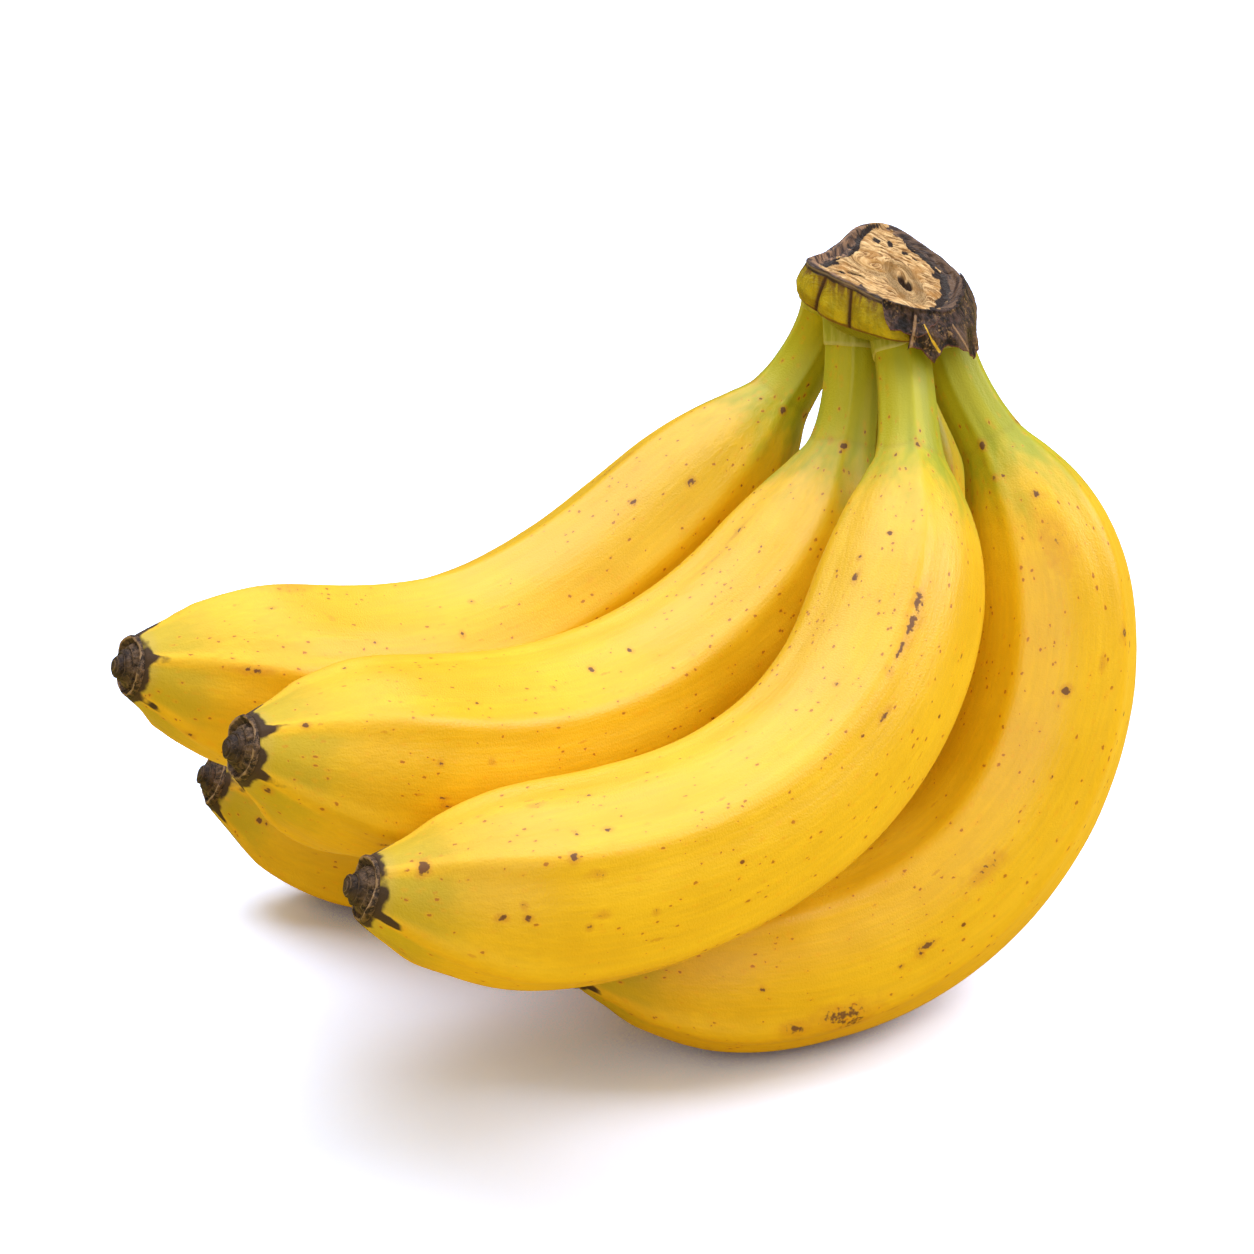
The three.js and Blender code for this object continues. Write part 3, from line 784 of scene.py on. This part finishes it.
def make_specks():
    """Scattered spots: one in each Voronoi cell whose random value is below Amount, with a
    radius that varies, and a wider halo."""
    tree, given, result = new_group(
        "specks", {"Vector": None, "Shake": None, "Scale": 300.0, "Stretch": 0.6, "Size": 0.15,
                   "Amount": 0.4}, ["Spot", "Halo"])
    place = squeezed(tree, given["Vector"], given["Stretch"])
    nudge = vectors(tree, "MULTIPLY", given["Shake"], (SHAKE, SHAKE, SHAKE))
    place = vectors(tree, "ADD", place, nudge)
    cells = new_node(tree, "ShaderNodeTexVoronoi", {"Vector": place, "Scale": given["Scale"]})
    random = new_node(tree, "ShaderNodeSeparateXYZ", {0: cells.outputs["Color"]}).outputs
    there = maths(tree, "LESS_THAN", random[0], given["Amount"])
    size = maths(tree, "MULTIPLY", given["Size"], ramp(tree, random[1], 0.0, 1.0, 0.35, 1.0))
    spot = maths(tree, "SUBTRACT", 1.0, maths(tree, "DIVIDE", cells.outputs["Distance"], size))
    halo = maths(tree, "DIVIDE", cells.outputs["Distance"], maths(tree, "MULTIPLY", size, HALO))
    wide = maths(tree, "SUBTRACT", 1.0, halo)
    tree.links.new(maths(tree, "MULTIPLY", ramp(tree, spot, 0.0, 0.45), there), result["Spot"])
    tree.links.new(maths(tree, "MULTIPLY", ramp(tree, wide, 0.0, 1.0), there), result["Halo"])
    return tree


def make_ragged():
    """A soft mask broken up by noise: smooth step of mask + (noise - 0.5) * Rough."""
    tree, given, result = new_group(
        "ragged_edge", {"Mask": 0.0, "Vector": None, "Scale": 700.0, "Rough": 0.6,
                        "Threshold": 0.5, "Softness": 0.12}, ["Mask"])
    broken = texture(tree, given["Vector"], given["Scale"], 3.0)
    centred = maths(tree, "MULTIPLY", maths(tree, "SUBTRACT", broken, 0.5), given["Rough"])
    value = maths(tree, "ADD", given["Mask"], centred)
    low = maths(tree, "SUBTRACT", given["Threshold"], given["Softness"])
    high = maths(tree, "ADD", given["Threshold"], given["Softness"])
    tree.links.new(ramp(tree, value, low, high), result["Mask"])
    return tree


GRAIN, SPECKS, RAGGED = make_grain(), make_specks(), make_ragged()


def make_peel():
    """Ripe peel: yellow with darker streaks, green stalk and olive tip, scattered specks, and
    the placed marks and the bruise round the dried flower."""
    made, tree, shader = new_material("ripe_peel")
    straight = mask(tree, "straight", True)
    share, from_tip, ridge, scar, crease, ring = masks_of(
        tree, "share", "from_tip", "ridge", "scar", "crease", "bruise")
    clouds, patches = texture(tree, straight, 45.0, 3.0), texture(tree, straight, 75.0, 2.0)
    fine, broad = streaks(tree, straight, 1100.0, 0.08, 3.0), streaks(tree, straight, 260.0, 0.06, 2.0)
    pores = texture(tree, straight, 2600.0, 1.0)
    yellow = mix(tree, ramp(tree, clouds, 0.35, 0.68), (0.78, 0.455, 0.0025), (0.85, 0.520, 0.005))
    green = mix(tree, ramp(tree, broad, 0.35, 0.7), (0.365, 0.375, 0.004), (0.50, 0.465, 0.008))
    wobble = maths(tree, "MULTIPLY", maths(tree, "SUBTRACT", broad, 0.5), 0.16)
    unripe = ramp(tree, maths(tree, "ADD", share, wobble), 0.0, 0.115, 1.0, 0.0)
    near_tip = maths(tree, "ADD", from_tip, maths(tree, "MULTIPLY", wobble, 0.05))
    olive = ramp(tree, near_tip, 0.004, 0.017, 1.0, 0.0)
    olive = maths(tree, "MULTIPLY", olive, ramp(tree, ridge, 0.05, 0.7, 0.6, 0.05))
    crowd = maths(tree, "ADD", ramp(tree, patches, 0.40, 0.62, 0.22, 0.85),
                  ramp(tree, ridge, 0.4, 0.95, 0.0, 0.2))
    some = ramp(tree, patches, 0.4, 0.6, 0.25, 0.7)
    shake = texture(tree, straight, 1500.0, 1.0, True)
    dots, few, dashes = (
        use(tree, SPECKS, Vector=straight, Shake=shake, Scale=scale, Stretch=stretch, Size=size,
            Amount=amount)
        for scale, stretch, size, amount in (
            (700.0, 0.6, 0.25, crowd), (250.0, 0.6, 0.11, some), (420.0, 0.22, 0.16, 0.5)))
    stain = ragged(tree, scar, straight, 500.0, 0.7, 0.35, 0.25)
    core = ragged(tree, scar, straight, 1100.0, 1.0, 0.66, 0.09)
    bruise = ragged(tree, ring, straight, 650.0, 0.5, 0.48, 0.16)
    colour = paint(
        tree, yellow,
        (broad, (0.52, 0.75, 0.0, 0.35), (0.92, 0.60, 0.006)),
        (fine, (0.3, 0.7, 0.26, 0.0), (0.62, 0.36, 0.004)),
        (ridge, (0.55, 0.95, 0.0, 0.35), (0.80, 0.46, 0.0)),
        (unripe, None, green),
        (olive, None, (0.40, 0.34, 0.006)),
        (from_tip, (0.001, 0.003, 0.2, 0.0), (0.48, 0.36, 0.14)),
        (dots["Halo"], 0.40, (0.84, 0.36, 0.0)),
        (dots["Spot"], 0.9, (0.42, 0.135, 0.0)),
        (few["Halo"], 0.45, (0.74, 0.27, 0.0)),
        (few["Spot"], 0.95, (0.17, 0.045, 0.004)),
        (dashes["Spot"], 0.55, (0.60, 0.24, 0.0)),
        (stain, 0.5, (0.60, 0.24, 0.006)),
        (core, 0.92, (0.12, 0.040, 0.018)),
        (crease, 0.16, (0.24, 0.17, 0.010)),
        (bruise, 0.97, (0.034, 0.014, 0.012)))
    dull = maths(tree, "ADD", maths(tree, "MULTIPLY", bruise, 0.25),
                 maths(tree, "MULTIPLY", unripe, 0.12))
    dull = maths(tree, "ADD", dull, ramp(tree, from_tip, 0.005, 0.035, 0.22, 0.0))
    uneven = ramp(tree, maths(tree, "ADD", clouds, core), 0.3, 1.2, 0.42, 0.62)
    roughness = maths(tree, "ADD", dull, uneven)
    finish_material(tree, shader, colour, roughness, (pores, 0.00014, 0.5), (fine, 0.00018, 0.5))
    shader.inputs["Specular IOR Level"].default_value = 0.62
    return made


def make_flower():
    """Dried remnant: two browns, with a dark nub, pale folds and lip, and a painted highlight along the
    step edges.
    """
    made, tree, shader = new_material("dried_flower_skin")
    straight = mask(tree, "straight", True)
    nub, step_highlight, folds, lip = masks_of(tree, "nub", "step_highlight", "folds", "lip")
    coarse, fine = texture(tree, straight, 900.0, 5.0), texture(tree, straight, 3500.0, 4.0)
    brown = mix(tree, ramp(tree, coarse, 0.35, 0.65), (0.022, 0.012, 0.010), (0.15, 0.088, 0.055))
    colour = paint(
        tree, brown,
        (fine, (0.52, 0.72, 0.0, 0.7), (0.30, 0.19, 0.12)),
        (nub, 0.65, (0.022, 0.013, 0.014)),
        # painted highlight on the step edges
        (step_highlight, (0.2, 1.0, 0.0, 0.75), (0.23, 0.145, 0.095)),
        (folds, (0.6, 1.0, 0.0, 0.25), (0.28, 0.18, 0.12)),
        (ragged(tree, lip, straight, 900.0, 1.6, 0.62, 0.2), 0.85, (0.40, 0.25, 0.15)))
    roughness = ramp(tree, fine, 0.3, 0.7, 0.55, 0.85)
    finish_material(tree, shader, colour, roughness, (coarse, 0.0006, 0.8), (fine, 0.00025, 0.8))
    shader.inputs["Specular IOR Level"].default_value = 0.3
    return made


def make_crown():
    """Crown: olive wall with streaks and seams, dry dark side and rim, and the cut face with
    its fibres, burnt edge, hole and slit."""
    made, tree, shader = new_material("cut_crown")
    place, flow, turn = (mask(tree, name, True) for name in ("place", "flow", "round"))
    pith, fibre, hollow_shade, knot, char, below, seam, crease_shade, skin_line, side = masks_of(
        tree, "pith", "fibre", "hollow_shade", "knot", "char", "below_rim", "seam", "crease_shade",
        "skin_line", "dry_side")
    down = streaks(tree, place, 1100.0, 0.10, 4.0)
    along_rim = streaks(tree, turn, 1300.0, 0.10, 4.0)
    threads = streaks(tree, flow, 1900.0, 0.13, 5.0)
    fine, clouds = texture(tree, place, 1800.0, 5.0), texture(tree, place, 260.0, 3.0)
    burn = ragged(tree, char, flow, 900.0, 1.1, 0.55, 0.16)
    kept = ragged(tree, pith, flow, 650.0, 0.9, 0.5, 0.10)

    # Wall: skin, streaks below the rim, painted shade in the creases, stained lower edge, skirt, seams,
    # dry side
    skin = mix(tree, ramp(tree, clouds, 0.35, 0.65), (0.33, 0.245, 0.004), (0.54, 0.42, 0.008))
    dark = mix(tree, ramp(tree, along_rim, 0.42, 0.66), (0.028, 0.015, 0.016), (0.13, 0.075, 0.060))
    tan = paint(tree, dark, (down, (0.50, 0.66, 0.0, 0.8), (0.30, 0.18, 0.09)))
    hanging = maths(tree, "MULTIPLY", ramp(tree, below, -5.5, -0.8),
                    ramp(tree, down, 0.40, 0.60, 0.25, 0.95))
    low = ragged(tree, ramp(tree, below, -8.9, -7.9, 1.0, 0.0), place, 400.0, 0.5, 0.5, 0.25)
    wall = paint(
        tree, skin,
        (down, (0.45, 0.7, 0.0, 0.45), (0.30, 0.26, 0.006)),
        (hanging, None, (0.17, 0.085, 0.018)),
        # painted shade in the creases of the wall
        (crease_shade, (0.25, 0.95, 0.0, 0.6), (0.22, 0.12, 0.010)),
        (low, 0.8, (0.13, 0.050, 0.022)),
        (below, (-9.5, -10.4), (0.26, 0.27, 0.02)),
        (seam, (0.30, 1.05, 0.0, 0.95), (0.060, 0.022, 0.014)),
        (ragged(tree, side, place, 300.0, 0.9, 0.5, 0.15), None, tan),
        (ragged(tree, ramp(tree, below, -1.9, -0.4), place, 600.0, 0.9, 0.5, 0.2), None, dark),
        (skin_line, 0.6, (0.36, 0.27, 0.20)))

    # Cut face: pale pith with its threads, and the dry ribbon outside it
    pale = mix(tree, ramp(tree, fibre, -0.6, 0.8), (0.32, 0.155, 0.050), (0.74, 0.49, 0.235))
    flesh = paint(
        tree, pale,
        (threads, (0.36, 0.55, 0.9, 0.0), (0.17, 0.075, 0.022)),
        (threads, (0.56, 0.70, 0.0, 0.6), (0.90, 0.70, 0.42)),
        (clouds, (0.48, 0.66, 0.0, 0.7), (0.42, 0.205, 0.055)),
        (knot, 0.6, (0.42, 0.21, 0.045)),
        (burn, None, (0.022, 0.013, 0.012)),
        # painted shade: the hole and the slit are painted dark
        (hollow_shade, (0.2, 0.7), (0.040, 0.018, 0.008)))
    bark = mix(tree, ramp(tree, along_rim, 0.40, 0.62), (0.045, 0.024, 0.022), (0.30, 0.17, 0.10))
    ribbon = paint(
        tree, bark,
        (side, (0.0, 1.0, 0.0, 0.55), (0.030, 0.016, 0.014)),
        (burn, None, (0.022, 0.013, 0.012)))
    colour = paint(tree, wall, (below, (0.0, 0.2), ribbon), (kept, None, flesh))
    roughness = ramp(tree, kept, 0.0, 1.0, 0.55, 0.88)
    finish_material(tree, shader, colour, roughness, (fine, 0.0004, 0.7), (threads, 0.0006, 0.9))
    shader.inputs["Specular IOR Level"].default_value = 0.35
    return made


def make_bract():
    """Dried bract: nearly black, with tan flecks, a painted highlight on the outward folds and painted
    shade in the inward ones, pale crests, and a gold splinter.
    """
    made, tree, shader = new_material("dried_bract_skin")
    place = mask(tree, "place", True)
    fold_and_shading, edge, crest, splinter = masks_of(tree, "fold_and_shading", "edge", "crest", "splinter")
    lines = streaks(tree, place, 1300.0, 0.10, 5.0)
    fine, clouds = texture(tree, place, 1500.0, 5.0), texture(tree, place, 320.0, 3.0)
    black = mix(tree, ramp(tree, lines, 0.36, 0.64), (0.007, 0.004, 0.005), (0.065, 0.034, 0.030))
    flecks = maths(tree, "MULTIPLY", ramp(tree, fine, 0.50, 0.66),
                   ramp(tree, clouds, 0.42, 0.60, 0.0, 0.9))
    colour = paint(
        tree, black,
        (flecks, None, (0.30, 0.18, 0.09)),
        # painted highlight where the folds stand out, and painted shade where they sink in
        (fold_and_shading, (0.1, 0.8, 0.0, 0.45), (0.20, 0.12, 0.085)),
        (fold_and_shading, (0.0, -0.5, 0.0, 0.92), (0.006, 0.003, 0.004)),
        (edge, (0.4, 1.0, 0.0, 0.7), (0.17, 0.055, 0.038)),
        (ragged(tree, crest, place, 900.0, 0.5, 0.5, 0.2), 0.8, (0.34, 0.20, 0.11)),
        (ragged(tree, splinter, place, 900.0, 0.4, 0.5, 0.15), None, (0.70, 0.43, 0.035)))
    roughness = ramp(tree, fine, 0.3, 0.7, 0.42, 0.8)
    finish_material(tree, shader, colour, roughness, (fine, 0.0005, 0.7), (lines, 0.0007, 0.9))
    shader.inputs["Specular IOR Level"].default_value = 0.25
    return made


def make_collar():
    """Pale green collar with a paler edge."""
    made, tree, shader = new_material("pale_collar")
    straight, edge = mask(tree, "straight", True), mask(tree, "edge")
    grain = streaks(tree, straight, 900.0, 0.15, 4.0)
    green = mix(tree, ramp(tree, grain, 0.35, 0.68), (0.36, 0.37, 0.02), (0.52, 0.51, 0.09))
    pale_edge = ragged(tree, edge, straight, 500.0, 0.5, 0.5, 0.3)
    colour = paint(tree, green, (pale_edge, 0.6, (0.58, 0.54, 0.20)))
    roughness = ramp(tree, grain, 0.3, 0.7, 0.45, 0.6)
    finish_material(tree, shader, colour, roughness, (grain, 0.0003, 0.6))
    return made


peel, flower, bract, collar = make_peel(), make_flower(), make_bract(), make_collar()
for seed, (name, fruit) in enumerate(FRUITS.items()):
    end = add_fruit(name, fruit, 100 + 10 * seed, peel)
    add_remnant(name, end, 200 + 10 * seed, flower)
    add_collar(name, fruit, 300 + 10 * seed, collar)
    if name in SHOULDERS:
        add_shoulder(name, fruit, 400 + 10 * seed, collar)
add_crown(make_crown())
for name, lobe in BRACT.items():
    add_bract(name, lobe, bract)

# Floor, light and camera. The camera sees the floor brighter than the fruits do, so that it is white up
# to the soft shadow under them;
# that shadow is partly painted, dark and bluish where ambient occlusion finds the fruits near. The
# fruits see the floor dim and warm yellow, a painted warm bounce.
FLOOR_HALF, AIM = 6, (0, 0, 0.05)
corners = [(x * FLOOR_HALF, y * FLOOR_HALF, 0) for x, y in ((-1, -1), (1, -1), (1, 1), (-1, 1))]
floor_mesh = bpy.data.meshes.new("floor")
floor_mesh.from_pydata(corners, [], [(0, 1, 2, 3)])
floor = bpy.data.objects.new("floor", floor_mesh)
bpy.context.scene.collection.objects.link(floor)
white, tree, _ = new_material("white_floor_painted_shadow")
seen = new_node(tree, "ShaderNodeLightPath").outputs["Is Camera Ray"]
# painted contact shadow: ambient occlusion darkens the floor and tints it bluish near the fruits
painted_contact_shadow = new_node(tree, "ShaderNodeAmbientOcclusion", {"Distance": 0.11}, samples=4).outputs["AO"]
floor_shadow_tone = mix(tree, ramp(tree, painted_contact_shadow, 0.0, 0.36), (0.17, 0.23, 0.62), (1.30, 1.50, 1.98))
bright = new_node(tree, "ShaderNodeBsdfDiffuse", {"Color": floor_shadow_tone}).outputs[0]
# painted warm bounce: the floor that the fruits see is dim yellow
dim = new_node(tree, "ShaderNodeBsdfDiffuse", {"Color": (0.76, 0.61, 0.12, 1)}).outputs[0]
both = new_node(tree, "ShaderNodeMixShader", {0: seen, 1: dim, 2: bright}).outputs[0]
tree.links.new(both, tree.nodes["Material Output"].inputs["Surface"])
floor_mesh.materials.append(white)

world = bpy.data.worlds.new("studio")
world.use_nodes = True
sky = world.node_tree.nodes["Background"].inputs
sky["Color"].default_value = (1, 0.93, 0.66, 1)
sky["Strength"].default_value = 0.14
bpy.context.scene.world = world


def add_light(name, place, width, power, colour):
    """Square area light that points at AIM."""
    data = bpy.data.lights.new(name, "AREA")
    data.shape = "SQUARE"
    data.size = width
    data.energy = power
    data.color = colour
    light = bpy.data.objects.new(name, data)
    light.location = place
    direction = np.array(place, float) - np.array(AIM, float)
    yaw = math.atan2(direction[0], -direction[1])
    light.rotation_euler = (math.acos(direction[2] / np.linalg.norm(direction)), 0, yaw)
    bpy.context.scene.collection.objects.link(light)


add_light("key", (-0.11, 0.34, 1.0), 1.1, 13.4, (0.97, 0.98, 1.0))
add_light("rim", (0.9, 0.1, 0.75), 0.7, 8.2, (1.0, 0.98, 1.0))
add_light("fill", (0.0, -1.2, 0.75), 1.0, 8.6, (1.0, 0.97, 0.80))

camera = bpy.data.objects.new("camera", bpy.data.cameras.new("camera"))
camera.data.lens = 93.3
camera.data.sensor_width = 36
camera.data.clip_start, camera.data.clip_end = 0.05, 20
camera.location = (-0.003, -0.5612, 0.3470)
camera.rotation_euler = (math.radians(64.92), 0, 0)
bpy.context.scene.collection.objects.link(camera)
bpy.context.scene.camera = camera
bpy.context.scene.view_settings.view_transform = "Standard"
